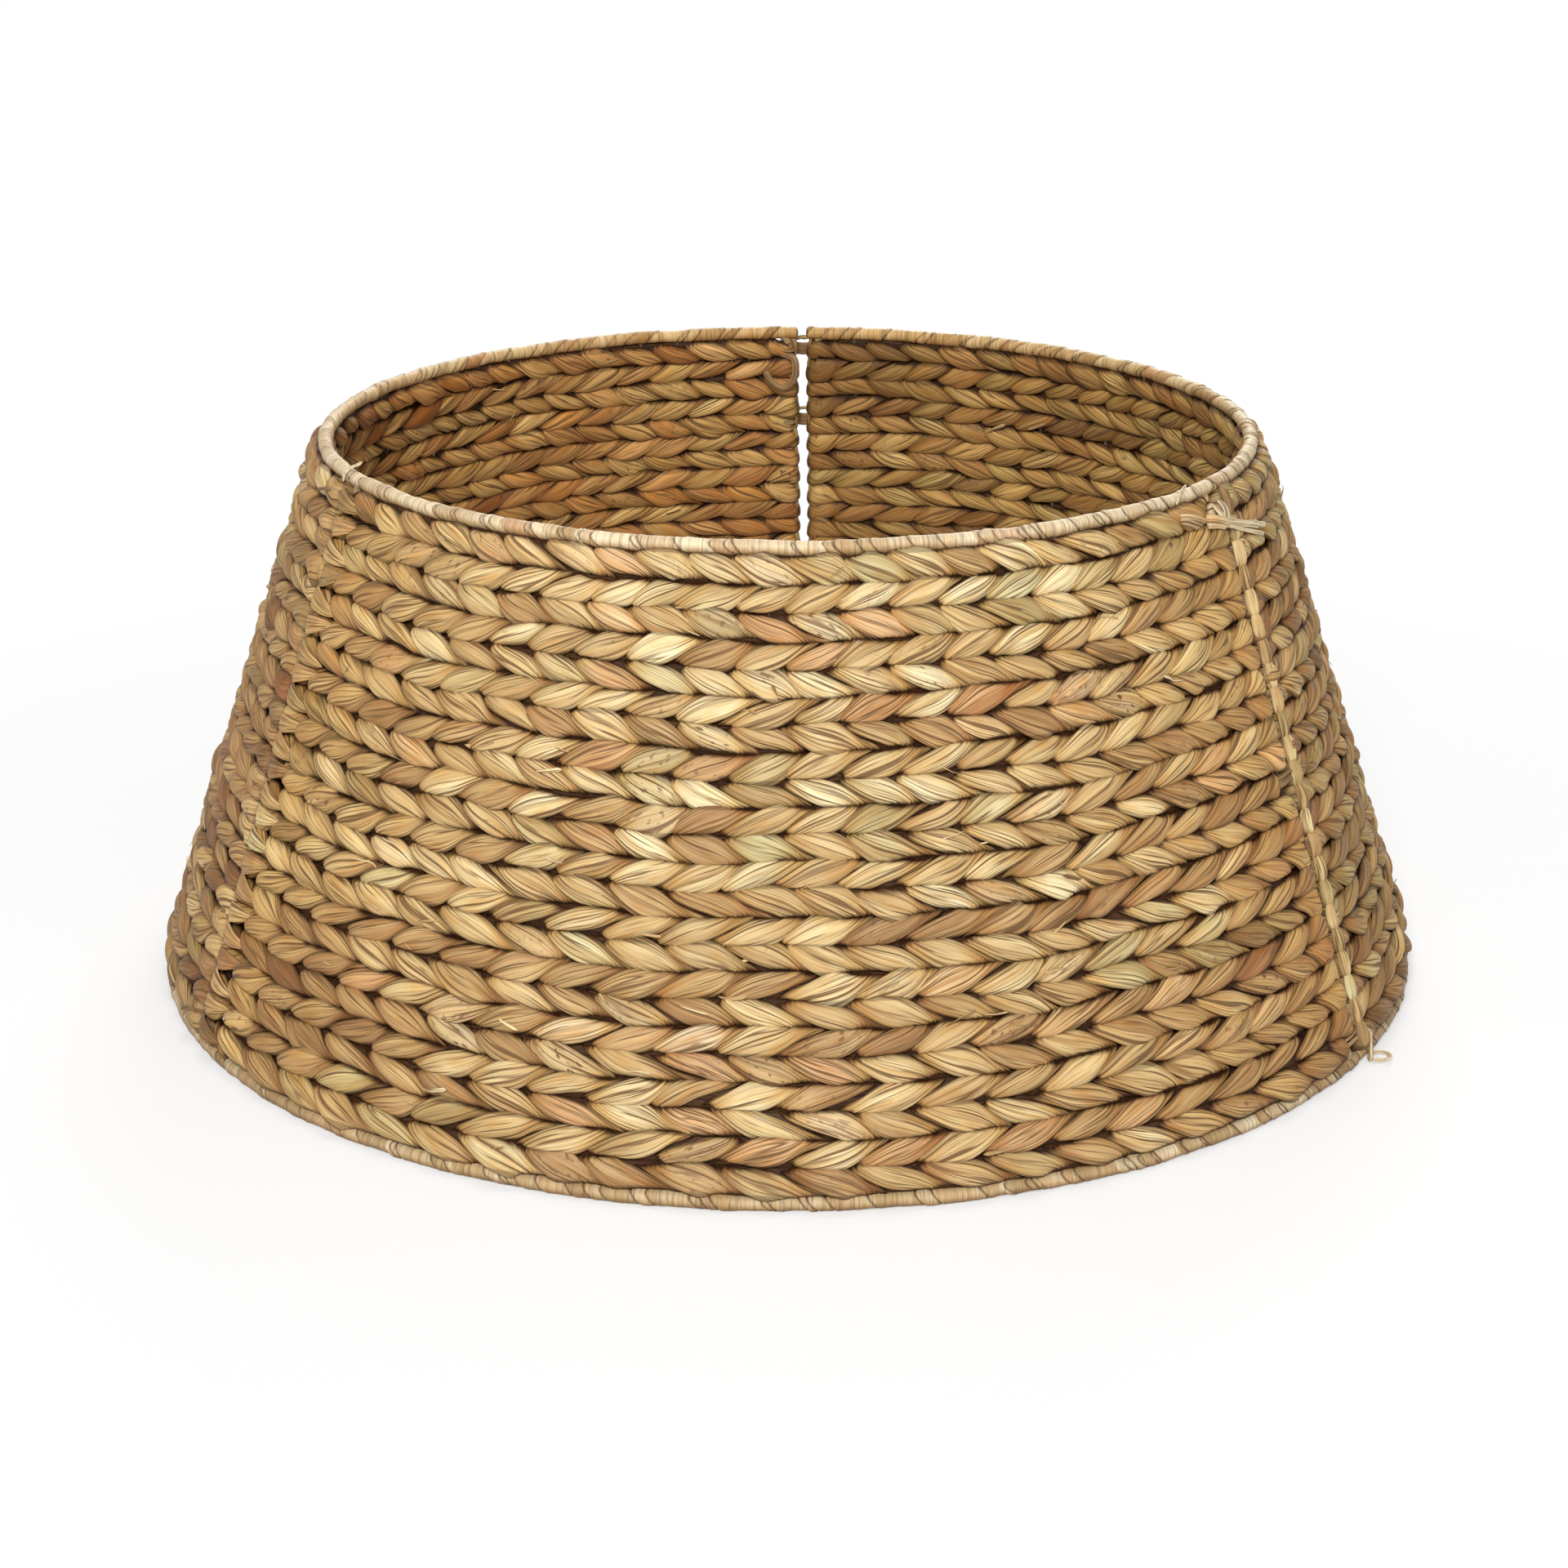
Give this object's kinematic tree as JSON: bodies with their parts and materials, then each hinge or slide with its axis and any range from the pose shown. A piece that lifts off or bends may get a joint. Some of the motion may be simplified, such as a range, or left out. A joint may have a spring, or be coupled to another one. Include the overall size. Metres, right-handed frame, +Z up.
{
  "type": "christmas tree collar",
  "caption": "Woven straw collar that stands round a tree stand: a hollow truncated cone of wire-framed panels, tied at the seams so that the side panels swing open.",
  "frame": {"origin": "on the floor in the middle of the collar", "axes": "+Z up along the cone's axis, -Y out of the middle of the front panel, +X to the right seen from the front"},
  "size_m": [0.6524, 0.6574, 0.2786],
  "materials": {
    "woven_hyacinth": "matt dried water hyacinth, pale straw to golden brown",
    "straw_wrap": "matt pale straw strip",
    "straw_tie": "matt pale straw strand with frayed ends",
    "frame_wire": "dull bare steel wire"
  },
  "bodies": {
    "front_panel": {"front_frame": "frame_wire", "front_weave": "woven_hyacinth", "front_rim_wrap": "straw_wrap", "front_base_wrap": "straw_wrap"},
    "left_panel": {"left_frame": "frame_wire", "left_weave": "woven_hyacinth", "left_rim_wrap": "straw_wrap", "left_base_wrap": "straw_wrap", "left_hinge_tie_top": "straw_tie", "left_hinge_tie_middle": "straw_tie", "left_hinge_tie_bottom": "straw_tie", "rear_tie_top": "straw_tie", "rear_tie_upper": "straw_tie", "rear_tie_bottom": "straw_tie"},
    "right_panel": {"right_frame": "frame_wire", "right_weave": "woven_hyacinth", "right_rim_wrap": "straw_wrap", "right_base_wrap": "straw_wrap", "right_hinge_tie_top": "straw_tie", "right_hinge_tie_middle": "straw_tie", "right_hinge_tie_bottom": "straw_tie"}
  },
  "joints": [
    {"name": "left_panel_swing", "type": "hinge", "parent": "front_panel", "child": "left_panel", "pos_m": [-0.27677, -0.16787, 0.00325], "axis": [0.2769, 0.1599, 0.9475], "range_deg": [0, 100]},
    {"name": "right_panel_swing", "type": "hinge", "parent": "front_panel", "child": "right_panel", "pos_m": [0.27677, -0.16787, 0.00325], "axis": [0.2769, -0.1599, -0.9475], "range_deg": [0, 100]}
  ]
}
